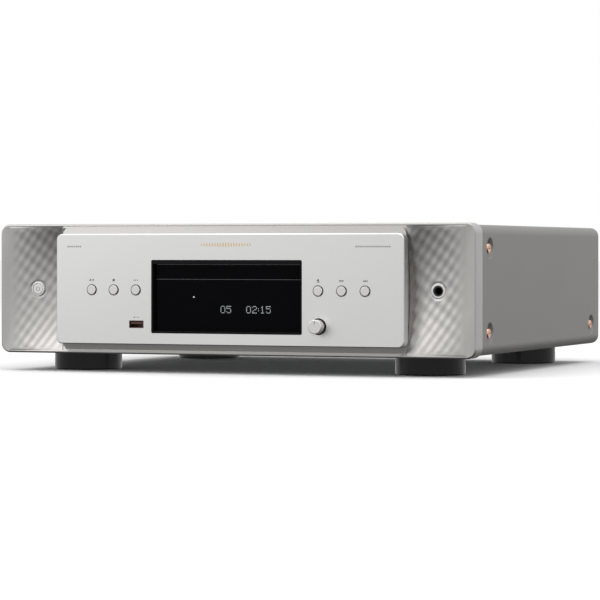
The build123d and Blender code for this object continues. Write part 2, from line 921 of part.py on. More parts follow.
# ---------------------------------------------------------------- loader frame
frame_top = frame_floor_z + frame_floor
wall_in = tray_half_width + slip
wall_out = wall_in + rail_width
wall_high = 96.0
ledge_in = 61.0
post_radius = 2.0
pinion_radius = pinion_teeth * rack_module / 2
pinion_inset = gear_inset + gear_radius + pinion_radius
motor_inset = pinion_inset + belt_span
pulley_low = frame_top + 0.7
pulley_high = pulley_low + 2.6
gear_low = pulley_high + 0.7
gear_high = rack_high - slip
pinion_high = rack_low - slip
traverse_nose = slot_front + slot_half_width
traverse_front = traverse_nose - traverse_half_width
pivot_inset = 160.0
pivot_z = 71.5
pivot_radius = 1.5
ear_in = traverse_half_width + 2
ear_out = ear_in + 4
frame_hole = slot_half_width + 1

with BuildPart() as loader_frame:
    block(-wall_out, wall_out, frame_front, frame_back, frame_floor_z, frame_top)
    for side in (-1, 1):
        block(side * wall_in, side * wall_out, frame_front, frame_back, frame_floor_z, wall_high)
        block(side * ledge_in, side * wall_out, frame_front, frame_back, frame_top, tray_low - slip)
        block(side * (wall_in - 3), side * wall_out, frame_front, frame_back, tray_high + slip, tray_high + slip + 2)
    block(-frame_hole, frame_hole, traverse_front - 4, pivot_inset + 10, 0, wall_high, Mode.SUBTRACT)
    block(-10, 10, traverse_front - 6, traverse_front + 4, frame_floor_z - 4, frame_floor_z - slip)
    block(-10, 10, traverse_front - 6, traverse_front - 4, frame_floor_z - 4, frame_floor_z)
    for side in (-1, 1):
        block(side * ear_in, side * ear_out, pivot_inset - 5, pivot_inset + 5, frame_floor_z, pivot_z + 5)
        pin_x(pivot_inset, pivot_z, pivot_radius + turning, side * (ear_in - 1), side * (ear_out + 1), Mode.SUBTRACT)
    pin_z(gear_x, gear_inset, post_radius, frame_floor_z, gear_high)
    pin_z(gear_x, pinion_inset, post_radius, frame_floor_z, pinion_high)
    pin_z(gear_x, motor_inset, 3, frame_floor_z - 1, frame_top + 1, Mode.SUBTRACT)
    for x, depth in frame_leg_places:
        pin_z(x, depth, 5, damper_high, frame_floor_z)
keep("loader_frame", loader_frame)

with BuildPart() as mechanism_dampers:
    for x, depth in frame_leg_places:
        pin_z(x, depth, 7, damper_low, damper_high)
keep("mechanism_dampers", mechanism_dampers)

bridge_half = 13.0
bridge_thickness = 2.5
bridge_high = wall_high + bridge_thickness
neck_radius = 12.0
puck_nose = 4.0

with BuildPart() as clamp_bridge:
    block(-wall_out, wall_out, disc_inset - 20, disc_inset + 20, wall_high, bridge_high)
    pin_z(0, disc_inset, neck_radius + 1.5, wall_high - 1, bridge_high + 1, Mode.SUBTRACT)
keep("clamp_bridge", clamp_bridge)

with BuildPart() as clamp_puck:
    pin_z(0, disc_inset, 4, wall_high - slip - puck_nose, wall_high - slip)
    pin_z(0, disc_inset, 16, wall_high - slip - 2.5, wall_high - slip)
    pin_z(0, disc_inset, neck_radius, wall_high - slip, bridge_high + slip)
    pin_z(0, disc_inset, 17, bridge_high + slip, bridge_high + slip + 1.6)
keep("clamp_puck", clamp_puck)

# ---------------------------------------------------------------- tray drive
with BuildPart() as tray_gear:
    gear(gear_x, gear_inset, gear_teeth, rack_module, 0, gear_low, gear_high)
    pin_z(gear_x, gear_inset, 3.5, frame_top + slip, gear_low)
    pin_z(gear_x, gear_inset, post_radius + turning, frame_top, gear_high + 1, Mode.SUBTRACT)
keep("tray_gear", tray_gear)

with BuildPart() as drive_pulley:
    gear(gear_x, pinion_inset, pinion_teeth, rack_module, 180 / pinion_teeth, pulley_high, pinion_high)
    pin_z(gear_x, pinion_inset, pulley_radius + 0.8, pulley_low, pulley_high)
    with BuildSketch(Plane.XY.offset(pulley_low + 0.5)) as belt_groove:
        with Locations((gear_x, front_y + pinion_inset)):
            Circle(pulley_radius + 2)
            Circle(pulley_radius, mode=Mode.SUBTRACT)
    extrude(belt_groove.sketch, amount=1.6, mode=Mode.SUBTRACT)
    pin_z(gear_x, pinion_inset, post_radius + turning, frame_top, pinion_high + 1, Mode.SUBTRACT)
keep("drive_pulley", drive_pulley)

motor_high = frame_floor_z - 0.4
motor_shaft = 1.0

with BuildPart() as motor_pulley:
    pin_z(gear_x, motor_inset, motor_pulley_radius + 0.8, pulley_low, pulley_high)
    with BuildSketch(Plane.XY.offset(pulley_low + 0.5)) as belt_groove:
        with Locations((gear_x, front_y + motor_inset)):
            Circle(motor_pulley_radius + 2)
            Circle(motor_pulley_radius, mode=Mode.SUBTRACT)
    extrude(belt_groove.sketch, amount=1.6, mode=Mode.SUBTRACT)
    pin_z(gear_x, motor_inset, motor_shaft, motor_high - 6, pulley_low)
keep("motor_pulley", motor_pulley)

with BuildPart() as loading_motor:
    pin_z(gear_x, motor_inset, 10, motor_high - 22, motor_high)
    pin_z(gear_x, motor_inset, motor_shaft + turning, motor_high - 7, motor_high + 1, Mode.SUBTRACT)
keep("loading_motor", loading_motor)

belt_gap = 0.1
belt_thickness = 1.0
belt_low = pulley_low + 0.8


def belt_outline(extra):
    """Outline of the belt's inner or outer face: two pulley arcs and two tangents."""
    large = pulley_radius + extra
    small = motor_pulley_radius + extra
    lean = acos((large - small) / belt_span)
    big = (gear_x, front_y + pinion_inset)
    little = (gear_x, front_y + motor_inset)
    right_big = (big[0] + large * sin(lean), big[1] + large * cos(lean))
    left_big = (big[0] - large * sin(lean), big[1] + large * cos(lean))
    right_little = (little[0] + small * sin(lean), little[1] + small * cos(lean))
    left_little = (little[0] - small * sin(lean), little[1] + small * cos(lean))
    ThreePointArc(right_big, (big[0], big[1] - large), left_big)
    Line(left_big, left_little)
    ThreePointArc(left_little, (little[0], little[1] + small), right_little)
    Line(right_little, right_big)


with BuildPart() as drive_belt:
    with BuildSketch(Plane.XY.offset(belt_low)) as belt_outside:
        with BuildLine():
            belt_outline(belt_gap + belt_thickness)
        make_face()
    with BuildSketch(Plane.XY.offset(belt_low)) as belt_inside:
        with BuildLine():
            belt_outline(belt_gap)
        make_face()
    extrude(belt_outside.sketch, amount=1.0)
    extrude(belt_inside.sketch, amount=1.0, mode=Mode.SUBTRACT)
keep("drive_belt", drive_belt)

# ---------------------------------------------------------------- traverse
traverse_floor = 3.0
traverse_top = frame_floor_z + traverse_floor
traverse_back = pivot_inset + 4
rod_radius = 1.5
rod_z = 75.6
rod_places = (-13.0, 3.0)
rod_front = disc_inset + 15.5
rod_back = 150.0
sled_front = disc_inset + 19
sled_length = 18.0
sled_gear_radius = sled_gear_teeth * sled_module / 2
sled_rack_x = 10.0
sled_gear_x = sled_rack_x + sled_gear_radius
sled_gear_inset = sled_front + sled_travel + 2.5
sled_low = traverse_top + 0.4
sled_high = 78.2
lens_inset = disc_inset + 24
spindle_radius = 1.0
spindle_motor_radius = 12.0

with BuildPart() as traverse:
    block(-traverse_half_width, traverse_half_width, traverse_nose, traverse_back, frame_floor_z, traverse_top)
    # the nose is round, to rise through the tray's round-ended slot
    pin_z(0, traverse_nose, traverse_half_width, frame_floor_z, traverse_top)
    block(-17, 8, sled_front + 3, rod_back - 5, frame_floor_z - 1, traverse_top + 1, Mode.SUBTRACT)
    for d0, d1 in ((rod_front, rod_front + 2.5), (rod_back - 2.5, rod_back)):
        block(rod_places[0] - 3.5, rod_places[1] + 2.8, d0, d1, frame_floor_z, rod_z + 2.2)
    for x in rod_places:
        pin_y(x, rod_z, rod_radius + 0.01, rod_front - 1, rod_back + 1, Mode.SUBTRACT)
    pin_z(0, disc_inset, 4, frame_floor_z - 1, traverse_top + 1, Mode.SUBTRACT)
    pin_z(sled_gear_x, sled_gear_inset, 2, frame_floor_z - 1, traverse_top + 1, Mode.SUBTRACT)
    for side in (-1, 1):
        pin_x(pivot_inset, pivot_z, pivot_radius, side * (traverse_half_width - 1), side * (ear_out - 0.5))
keep("traverse", traverse)

with BuildPart() as guide_rods:
    for x in rod_places:
        pin_y(x, rod_z, rod_radius, rod_front, rod_back)
keep("guide_rods", guide_rods)

with BuildPart() as pickup_sled:
    block(-17, 6, sled_front, sled_front + sled_length, sled_low, sled_high)
    block(5.8, sled_rack_x - sled_module, sled_front, sled_front + sled_travel + 8, traverse_top + 1, traverse_top + 4)
    rack(
        sled_rack_x,
        1,
        sled_gear_inset,
        sled_front,
        sled_front + sled_travel + 8,
        sled_module,
        1.0,
        traverse_top + 1,
        traverse_top + 4,
        0.1,
    )
    for x in rod_places:
        pin_y(x, rod_z, rod_radius + turning, sled_front - 1, sled_front + sled_length + 1, Mode.SUBTRACT)
    pin_z(-5, lens_inset, 3.6, sled_low - 1, sled_high + 1, Mode.SUBTRACT)
keep("pickup_sled", pickup_sled)

with BuildPart() as pickup_lens:
    pin_z(-5, lens_inset, 3.5, sled_low + 1, sled_high + 0.6)
    lens_edge = pickup_lens.faces().sort_by(Axis.Z)[-1].edges()
    fillet(lens_edge, 0.5)
keep("pickup_lens", pickup_lens)

sled_motor_high = frame_floor_z
sled_shaft = 0.8

with BuildPart() as sled_gear:
    gear(sled_gear_x, sled_gear_inset, sled_gear_teeth, sled_module, 0, traverse_top + 0.7, traverse_top + 3.7)
    pin_z(sled_gear_x, sled_gear_inset, sled_shaft, sled_motor_high - 6, traverse_top + 1)
keep("sled_gear", sled_gear)

with BuildPart() as sled_motor:
    pin_z(sled_gear_x, sled_gear_inset, 6, sled_motor_high - 14, sled_motor_high)
    pin_z(sled_gear_x, sled_gear_inset, sled_shaft + turning, sled_motor_high - 7, sled_motor_high + 1, Mode.SUBTRACT)
keep("sled_motor", sled_motor)

with BuildPart() as spindle_motor:
    pin_z(0, disc_inset, spindle_motor_radius, frame_floor_z - 6, frame_floor_z)
    pin_z(0, disc_inset, spindle_radius + turning, frame_floor_z - 5, frame_floor_z + 1, Mode.SUBTRACT)
keep("spindle_motor", spindle_motor)

hub_radius = 7.4

with BuildPart() as turntable:
    pin_z(0, disc_inset, turntable_radius, turntable_z - 2.6, turntable_z)
    with Locations((0, disc_y, turntable_z + 0.9)):
        Cone(hub_radius, hub_radius - 1.2, 1.8)
    pin_z(0, disc_inset, spindle_radius, frame_floor_z - 4.5, turntable_z - 2)
keep("turntable", turntable)

# ---------------------------------------------------------------- power and audio electronics
with BuildPart() as transformer:
    block(-185, -118, 270, 330, pan_high, pan_high + 12)
    block(-180, -123, 258, 342, pan_high, pan_high + 48)
keep("transformer", transformer)

for name, box in (("power_board", power_board_box), ("audio_board", audio_board_box)):
    with BuildPart() as circuit:
        block(*box, board_z, board_z + board)
    keep(name, circuit)

cap_places = [(-190 + 22 * step, 178) for step in range(4)]
cap_places += [(110 + 20 * step, 250) for step in range(4)]
cap_places += [(110 + 20 * step, 300) for step in range(4)]

with BuildPart() as board_capacitors:
    for x, depth in cap_places:
        pin_z(x, depth, 8, board_z + board, board_z + board + 28)
keep("board_capacitors", board_capacitors)
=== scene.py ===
import json
import math
from math import cos, pi, radians, sin, sqrt

import bmesh
import bpy
from mathutils import Matrix, Vector
from mathutils.bvhtree import BVHTree


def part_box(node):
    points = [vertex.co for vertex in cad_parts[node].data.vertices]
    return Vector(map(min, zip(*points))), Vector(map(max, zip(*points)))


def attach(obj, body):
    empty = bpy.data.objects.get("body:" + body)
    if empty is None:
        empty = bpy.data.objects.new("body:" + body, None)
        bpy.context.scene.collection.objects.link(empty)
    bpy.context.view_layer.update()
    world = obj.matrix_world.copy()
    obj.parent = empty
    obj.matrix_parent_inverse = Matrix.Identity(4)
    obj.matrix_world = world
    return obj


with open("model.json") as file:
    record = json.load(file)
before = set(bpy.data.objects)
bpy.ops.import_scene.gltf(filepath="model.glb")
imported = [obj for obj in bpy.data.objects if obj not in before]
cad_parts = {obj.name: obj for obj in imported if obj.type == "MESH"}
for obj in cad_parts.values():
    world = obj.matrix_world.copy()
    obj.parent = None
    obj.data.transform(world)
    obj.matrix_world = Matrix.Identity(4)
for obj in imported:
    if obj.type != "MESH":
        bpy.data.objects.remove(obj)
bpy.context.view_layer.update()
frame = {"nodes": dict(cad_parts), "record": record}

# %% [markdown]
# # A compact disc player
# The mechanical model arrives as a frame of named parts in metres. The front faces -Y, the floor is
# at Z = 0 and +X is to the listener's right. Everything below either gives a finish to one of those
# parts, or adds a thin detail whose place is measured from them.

MM = 0.001
record = frame["record"]
fascia_low, fascia_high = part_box("front_fascia")
plate_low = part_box("centre_plate")[0]
print("case", [round(v, 4) for v in fascia_high - fascia_low])

# %% [markdown]
# ## Camera
# The player is seen from a little to its right with a long lens. The camera stays level, so that
# upright edges stay upright, and a small vertical shift frames the case.

# %% Camera
camera_turn = radians(21.78)
camera_distance = 2.300
aim = Vector((0.0605, fascia_low.y + 0.0099, 0.1041))
camera_data = bpy.data.cameras.new("camera")
camera_data.lens = 162.09
camera_data.sensor_width = 36.0
camera_data.shift_y = -0.0791
camera_data.clip_end = 50.0
camera = bpy.data.objects.new("camera", camera_data)
camera.location = aim + Vector((sin(camera_turn), -cos(camera_turn), 0)) * camera_distance
camera.rotation_euler = (radians(90), 0, camera_turn)
bpy.context.scene.collection.objects.link(camera)
bpy.context.scene.camera = camera
bpy.context.scene.view_settings.view_transform = "Standard"
print("camera", [round(v, 3) for v in camera.location])

# %% [markdown]
# ## Studio
# A metal front looks like whatever stands around it. Here the world is a soft white tent that turns
# grey below the horizon, so faces tilted down go dark and faces tilted up go bright. The pale floor
# doesn't show in reflections, which keeps that lower half calm.

# %% World


def node(tree, kind, place=(0, 0), **settings):
    """Add a shader node and set its properties."""
    made = tree.nodes.new(kind)
    made.location = place
    for name, value in settings.items():
        setattr(made, name, value)
    return made


def ramp(tree, stops, place=(0, 0)):
    """Add a colour ramp with grey or coloured stops, given as (position, value) pairs."""
    made = node(tree, "ShaderNodeValToRGB", place)
    elements = made.color_ramp.elements
    while len(elements) < len(stops):
        elements.new(0.5)
    for element, (position, value) in zip(elements, stops):
        element.position = position
        colour = value if hasattr(value, "__len__") else (value, value, value)
        element.color = (*colour, 1)
    return made


world = bpy.data.worlds.new("studio")
bpy.context.scene.world = world
world.use_nodes = True
sky = world.node_tree
background = sky.nodes["Background"]
direction = node(sky, "ShaderNodeTexCoord", (-800, 0))
split = node(sky, "ShaderNodeSeparateXYZ", (-600, 0))
height = node(sky, "ShaderNodeMapRange", (-400, 0))
height.inputs["From Min"].default_value = -1.0
height.inputs["From Max"].default_value = 1.0
tent = ramp(
    sky,
    [(0.0, 0.05), (0.28, 0.10), (0.44, 0.48), (0.51, 0.84), (0.6, 0.90), (0.75, 1.0)],
    (-200, 0),
)
sky.links.new(direction.outputs["Generated"], split.inputs[0])
sky.links.new(split.outputs["Z"], height.inputs["Value"])
sky.links.new(height.outputs[0], tent.inputs["Fac"])
seen = node(sky, "ShaderNodeLightPath", (-400, 300))
choose = node(sky, "ShaderNodeMix", (0, 100), data_type="RGBA")
sky.links.new(seen.outputs["Is Camera Ray"], choose.inputs["Factor"])
sky.links.new(tent.outputs["Color"], choose.inputs[6])
choose.inputs[7].default_value = (1.0, 1.0, 1.0, 1.0)
sky.links.new(choose.outputs[2], background.inputs["Color"])
background.inputs["Strength"].default_value = 1.0

# %% Floor and lamps
floor_mesh = bpy.data.meshes.new("floor")
sheet = bmesh.new()
bmesh.ops.create_grid(sheet, x_segments=1, y_segments=1, size=30.0)
sheet.to_mesh(floor_mesh)
sheet.free()
floor = bpy.data.objects.new("floor", floor_mesh)
bpy.context.scene.collection.objects.link(floor)
floor_finish = bpy.data.materials.new("floor_paper")
floor_finish.use_nodes = True
paper = floor_finish.node_tree.nodes["Principled BSDF"]
paper.inputs["Base Color"].default_value = (0.92, 0.92, 0.92, 1)
paper.inputs["Roughness"].default_value = 0.9
paper.inputs["Specular IOR Level"].default_value = 0.1
floor_mesh.materials.append(floor_finish)
floor.visible_glossy = False


def soft_lamp(name, place, target, size, watts):
    """A rectangular lamp that faces a point."""
    lamp_data = bpy.data.lights.new(name, "AREA")
    lamp_data.shape = "RECTANGLE"
    lamp_data.size, lamp_data.size_y = size
    lamp_data.energy = watts
    lamp = bpy.data.objects.new(name, lamp_data)
    lamp.location = place
    lamp.rotation_euler = (Vector(target) - Vector(place)).to_track_quat("-Z", "Y").to_euler()
    bpy.context.scene.collection.objects.link(lamp)
    return lamp


soft_lamp("overhead", (0.0, -0.3, 2.2), (0, 0, 0), (2.4, 2.0), 17)
soft_lamp("front_left", (-1.6, -2.2, 1.1), (0, 0, 0.07), (1.2, 1.2), 8)
print("lamps", len(bpy.data.lights))

# %% [markdown]
# ## Shared surface effects
# Several finishes need the same three effects: fine grain from blasting or moulding, long scratches
# from brushing, and a painted highlight along the edges. Each is a node group that is built once and placed
# in a material with that material's own scale and strength.

# %% Effect groups


def effect(name, inputs, outputs):
    """Start a node group with float inputs and the given outputs."""
    group = bpy.data.node_groups.new(name, "ShaderNodeTree")
    for label, value in inputs:
        socket = group.interface.new_socket(label, in_out="INPUT", socket_type="NodeSocketFloat")
        socket.default_value = value
    for label, kind in outputs:
        group.interface.new_socket(label, in_out="OUTPUT", socket_type=kind)
    start = node(group, "NodeGroupInput", (-900, 0))
    end = node(group, "NodeGroupOutput", (600, 0))
    return group, start, end


def object_noise(group, scale_from, stretch, detail, place):
    """Noise on object coordinates, stretched by a vector, its scale read from a socket."""
    where = node(group, "ShaderNodeTexCoord", (place[0] - 500, place[1]))
    mapping = node(group, "ShaderNodeMapping", (place[0] - 300, place[1]))
    mapping.inputs["Scale"].default_value = stretch
    noise = node(group, "ShaderNodeTexNoise", place)
    noise.inputs["Detail"].default_value = detail
    group.links.new(where.outputs["Object"], mapping.inputs["Vector"])
    group.links.new(mapping.outputs[0], noise.inputs["Vector"])
    group.links.new(scale_from, noise.inputs["Scale"])
    return noise


def spread(group, value, low_high, place):
    """Map a 0-1 value to one minus strength ... one plus strength, strength read from a socket."""
    centred = node(group, "ShaderNodeMath", place, operation="SUBTRACT")
    centred.inputs[1].default_value = 0.5
    scaled = node(group, "ShaderNodeMath", (place[0] + 180, place[1]), operation="MULTIPLY_ADD")
    scaled.inputs[2].default_value = 1.0
    group.links.new(value, centred.inputs[0])
    group.links.new(centred.outputs[0], scaled.inputs[0])
    group.links.new(low_high, scaled.inputs[1])
    return scaled.outputs[0]


FLOAT = "NodeSocketFloat"

# fine grain: colour and roughness factors and a bump height
grain, grain_in, grain_out = effect(
    "fine_grain",
    [("Scale", 900.0), ("Tone", 0.1), ("Gloss", 0.3)],
    [("Tone", FLOAT), ("Gloss", FLOAT), ("Height", FLOAT)],
)
fine = object_noise(grain, grain_in.outputs["Scale"], (1, 1, 1), 3.0, (-300, 100))
for label, row in (("Tone", 200), ("Gloss", 0)):
    varied = spread(grain, fine.outputs["Fac"], grain_in.outputs[label], (0, row))
    grain.links.new(varied, grain_out.inputs[label])
grain.links.new(fine.outputs["Fac"], grain_out.inputs["Height"])

# brushing along X: the same three outputs from long thin noise
brush, brush_in, brush_out = effect(
    "brushed_lines",
    [("Scale", 60.0), ("Tone", 0.1), ("Gloss", 0.3)],
    [("Tone", FLOAT), ("Gloss", FLOAT), ("Height", FLOAT)],
)
lines = object_noise(brush, brush_in.outputs["Scale"], (0.6, 40.0, 40.0), 4.0, (-300, 100))
for label, row in (("Tone", 200), ("Gloss", 0)):
    varied = spread(brush, lines.outputs["Fac"], brush_in.outputs[label], (0, row))
    brush.links.new(varied, brush_out.inputs[label])
brush.links.new(lines.outputs["Fac"], brush_out.inputs["Height"])

# broad handling marks: one slow gloss factor
handling, handling_in, handling_out = effect(
    "handling_marks", [("Scale", 9.0), ("Gloss", 0.2)], [("Gloss", FLOAT), ("Tone", FLOAT)]
)
slow = object_noise(handling, handling_in.outputs["Scale"], (1, 1, 1), 5.0, (-300, 0))
handling.links.new(
    spread(
        handling,
        slow.outputs["Fac"],
        handling_in.outputs["Gloss"],
        (0, 0),
    ), handling_out.inputs["Gloss"]
)
fade = node(handling, "ShaderNodeMapRange", (0, -200))
fade.inputs["To Min"].default_value = 0.97
fade.inputs["To Max"].default_value = 1.03
handling.links.new(slow.outputs["Fac"], fade.inputs["Value"])
handling.links.new(fade.outputs[0], handling_out.inputs["Tone"])

# painted edge highlight: a mask where a rounded normal leaves the true one
edge_sheen, edge_sheen_in, edge_sheen_out = effect("painted_edge_sheen", [("Radius", 0.0006), ("Sharpness", 6.0)], [("Mask", FLOAT)])
rounded = node(edge_sheen, "ShaderNodeBevel", (-500, 0), samples=4)
true_face = node(edge_sheen, "ShaderNodeNewGeometry", (-500, -200))
agreement = node(edge_sheen, "ShaderNodeVectorMath", (-300, 0), operation="DOT_PRODUCT")
lack = node(edge_sheen, "ShaderNodeMath", (-100, 0), operation="SUBTRACT")
lack.inputs[0].default_value = 1.0
gain = node(edge_sheen, "ShaderNodeMath", (80, 0), operation="MULTIPLY", use_clamp=True)
edge_sheen.links.new(edge_sheen_in.outputs["Radius"], rounded.inputs["Radius"])
edge_sheen.links.new(rounded.outputs[0], agreement.inputs[0])
edge_sheen.links.new(true_face.outputs["Normal"], agreement.inputs[1])
edge_sheen.links.new(agreement.outputs["Value"], lack.inputs[1])
edge_sheen.links.new(lack.outputs[0], gain.inputs[0])
edge_sheen.links.new(edge_sheen_in.outputs["Sharpness"], gain.inputs[1])
edge_sheen.links.new(gain.outputs[0], edge_sheen_out.inputs["Mask"])
print("effects", [g.name for g in bpy.data.node_groups])

# %% [markdown]
# ## A finish from its effects
# Each finish multiplies its colour by the tone factors and its roughness by the gloss factors, and
# lightens its edges as a painted highlight. What never changes over the surface is set on the shader's own
# sockets.

# %% Finish builder


def finish(
    slot,
    colour,
    roughness,
    metallic=0.0,
    lines=None,
    grains=None,
    marks=0.2,
    edge=None,
    bump=0.0,
    **shader,
):
    """A material for one slot: grains or lines are (scale, tone, gloss), edge is (colour, strength) of a
    painted edge highlight.
    """
    made = bpy.data.materials.new(slot)
    made.use_nodes = True
    tree = made.node_tree
    surface = tree.nodes["Principled BSDF"]
    surface.inputs["Metallic"].default_value = metallic
    for label, value in shader.items():
        surface.inputs[label.replace("_", " ")].default_value = value
    worn = node(tree, "ShaderNodeGroup", (-1100, -300))
    worn.node_tree = handling
    worn.inputs["Gloss"].default_value = marks
    tone, gloss, height_from = worn.outputs["Tone"], worn.outputs["Gloss"], None
    for group, values in ((brush, lines), (grain, grains)):
        if values is None:
            continue
        texture = node(tree, "ShaderNodeGroup", (-900, 200 if group is brush else -100))
        texture.node_tree = group
        for label, value in zip(("Scale", "Tone", "Gloss"), values):
            texture.inputs[label].default_value = value
        for label in ("Tone", "Gloss"):
            joined = node(tree, "ShaderNodeMath", (-650, 0), operation="MULTIPLY")
            tree.links.new(tone if label == "Tone" else gloss, joined.inputs[0])
            tree.links.new(texture.outputs[label], joined.inputs[1])
            if label == "Tone":
                tone = joined.outputs[0]
            else:
                gloss = joined.outputs[0]
        height_from = texture.outputs["Height"]
    paint = node(tree, "ShaderNodeVectorMath", (-400, 200), operation="SCALE")
    paint.inputs[0].default_value = colour
    tree.links.new(tone, paint.inputs["Scale"])
    colour_from = paint.outputs[0]
    # painted highlight: the edges are mixed toward a lighter colour
    if edge is not None:
        rim = node(tree, "ShaderNodeGroup", (-650, 450))
        rim.node_tree = edge_sheen
        rim.inputs["Sharpness"].default_value = edge[1]
        lighten = node(tree, "ShaderNodeMix", (-200, 300), data_type="RGBA")
        lighten.inputs[7].default_value = (*edge[0], 1)
        tree.links.new(rim.outputs["Mask"], lighten.inputs["Factor"])
        tree.links.new(colour_from, lighten.inputs[6])
        colour_from = lighten.outputs[2]
    tree.links.new(colour_from, surface.inputs["Base Color"])
    rough = node(tree, "ShaderNodeMath", (-400, -100), operation="MULTIPLY", use_clamp=True)
    rough.inputs[1].default_value = roughness
    tree.links.new(gloss, rough.inputs[0])
    tree.links.new(rough.outputs[0], surface.inputs["Roughness"])
    if bump and height_from is not None:
        relief = node(tree, "ShaderNodeBump", (-200, -350))
        relief.inputs["Strength"].default_value = bump
        relief.inputs["Distance"].default_value = 0.0001
        tree.links.new(height_from, relief.inputs["Height"])
        tree.links.new(relief.outputs[0], surface.inputs["Normal"])
    return made


# %% [markdown]
# ## The finishes
# The fascia is a champagne metallic moulding with a faint flake. The plate is finely brushed
# aluminium. The cover is textured metallic paint, the feet are satin black, and the window is
# polished and smoked. Inside, the mechanism is moulded plastic, plated steel and acetal.

# %% Metal and paint finishes
# each edge colour below is a painted highlight along that finish's edges
finishes = {
    "champagne_shell": finish(
        "champagne_shell", (0.50, 0.488, 0.470), 0.36, 1.0,
        grains=(1400.0, 0.10, 0.25), edge=((0.74, 0.72, 0.69), 2.0), bump=0.10,
    ),
    "plate_metal": finish(
        "plate_metal", (0.82, 0.82, 0.81), 0.40, 1.0,
        lines=(70.0, 0.05, 0.25), grains=(2600.0, 0.05, 0.2), edge=((0.93, 0.93, 0.92), 2.0), bump=0.12,
    ),
    "cover_paint": finish(
        "cover_paint", (0.255, 0.250, 0.243), 0.46, 0.75,
        grains=(1900.0, 0.12, 0.25), edge=((0.55, 0.54, 0.53), 1.0), bump=0.25,
    ),
    "zinc_steel": finish("zinc_steel", (0.56, 0.57, 0.58), 0.38, 1.0, lines=(40.0, 0.15, 0.4), bump=0.1),
    "copper_screw": finish(
        "copper_screw",
        (0.80, 0.47, 0.34),
        0.25,
        1.0,
        grains=(1500.0, 0.1, 0.3),
        edge=((0.95, 0.68, 0.55), 3.0),
        bump=0.1,
    ),
    "button_silver": finish(
        "button_silver", (0.80, 0.79, 0.78), 0.30, 1.0,
        grains=(2200.0, 0.06, 0.25), edge=((0.95, 0.95, 0.94), 3.0), bump=0.08,
    ),
    "gold_jack": finish("gold_jack", (0.86, 0.62, 0.27), 0.22, 1.0, grains=(1200.0, 0.08, 0.3), bump=0.05),
    "motor_steel": finish("motor_steel", (0.62, 0.62, 0.60), 0.32, 1.0, lines=(50.0, 0.12, 0.4), bump=0.1),
    "rod_steel": finish("rod_steel", (0.78, 0.78, 0.79), 0.12, 1.0, grains=(800.0, 0.05, 0.4), bump=0.03),
    "core_varnish": finish(
        "core_varnish", (0.16, 0.09, 0.05), 0.35, 0.2, grains=(500.0, 0.35, 0.4), bump=0.3, Coat_Weight=0.4
    ),
}
print("metal finishes", len(finishes))

# %% Plastic, rubber and glass finishes
finishes.update({
    "window_black": finish(
        "window_black",
        (0.0015, 0.0015, 0.002),
        0.14,
        grains=(700.0, 0.1, 0.15),
        bump=0.01,
        Specular_IOR_Level=0.03,
    ),
    "bezel_black": finish(
        "bezel_black",
        (0.004, 0.004, 0.005),
        0.30,
        grains=(900.0, 0.1, 0.2),
        bump=0.03,
        Specular_IOR_Level=0.10,
    ),
    "foot_black": finish(
        "foot_black",
        (0.003, 0.003, 0.003),
        0.18,
        grains=(1300.0, 0.25, 0.3),
        bump=0.08,
        Specular_IOR_Level=0.28,
    ),
    "jack_black": finish("jack_black", (0.014, 0.014, 0.015), 0.45, grains=(1300.0, 0.25, 0.3), bump=0.15),
    "board_green": finish(
        "board_green",
        (0.020, 0.095, 0.045),
        0.35,
        grains=(300.0, 0.35, 0.3),
        bump=0.1,
        Coat_Weight=0.3,
    ),
    "mechanism_grey": finish(
        "mechanism_grey",
        (0.085, 0.085, 0.09),
        0.50,
        grains=(1100.0, 0.2, 0.25),
        edge=((0.16, 0.16, 0.17), 1.0),
        bump=0.2,
    ),
    "tray_black": finish(
        "tray_black",
        (0.018, 0.018, 0.020),
        0.48,
        grains=(1500.0, 0.2, 0.25),
        edge=((0.06, 0.06, 0.06), 1.0),
        bump=0.3,
    ),
    "gear_white": finish(
        "gear_white",
        (0.80, 0.77, 0.70),
        0.42,
        grains=(900.0, 0.06, 0.2),
        bump=0.08,
        Subsurface_Weight=0.1,
    ),
    "belt_rubber": finish("belt_rubber", (0.016, 0.016, 0.016), 0.75, grains=(1200.0, 0.2, 0.2), bump=0.2),
    "damper_rubber": finish(
        "damper_rubber",
        (0.04, 0.04, 0.045),
        0.70,
        grains=(1200.0, 0.2, 0.2),
        bump=0.3,
    ),
    "cap_sleeve": finish(
        "cap_sleeve",
        (0.03, 0.045, 0.13),
        0.28,
        grains=(500.0, 0.1, 0.3),
        bump=0.05,
        Coat_Weight=0.2,
    ),
    "lens_glass": finish(
        "lens_glass", (0.30, 0.36, 0.62), 0.05, grains=(400.0, 0.05, 0.2), bump=0.01, Coat_Weight=1.0
    ),
})
node_slot = {s["node"]: s["material_slot"] for s in record["subparts"]}
for name, part in frame["nodes"].items():
    part.data.materials.clear()
    part.data.materials.append(finishes[node_slot[name]])
# the USB socket is coloured dark brown: its gold contacts with painted shade of the recess over them
socket_gold_and_shade = finish("socket_gold_and_shade", (0.10, 0.055, 0.04), 0.35, 0.6, grains=(900.0, 0.2, 0.3), bump=0.1)
frame["nodes"]["usb_socket"].data.materials[0] = socket_gold_and_shade
print("finished parts", len(node_slot))

# %% [markdown]
# ## Small pieces
# Marks, dots and relief skins are new pieces. Each is shaped with bmesh operators, placed in its mesh,
# and rides on the body that carries it.

# %% Piece helpers


def new_piece(name, mesh, slot, body, material=None):
    """Turn a bmesh into an object with a finish that rides on a body."""
    data = bpy.data.meshes.new(name)
    mesh.to_mesh(data)
    mesh.free()
    data.materials.append(material or finishes[slot])
    piece = bpy.data.objects.new(name, data)
    bpy.context.scene.collection.objects.link(piece)
    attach(piece, body)
    return piece


def facing_front(x, y, z, turn=0.0):
    """Matrix that stands a flat XY shape up to face the listener, turned about its centre."""
    return Matrix.Translation(
        (x, y, z),
    ) @ Matrix.Rotation(radians(90), 4, "X") @ Matrix.Rotation(turn, 4, "Z")


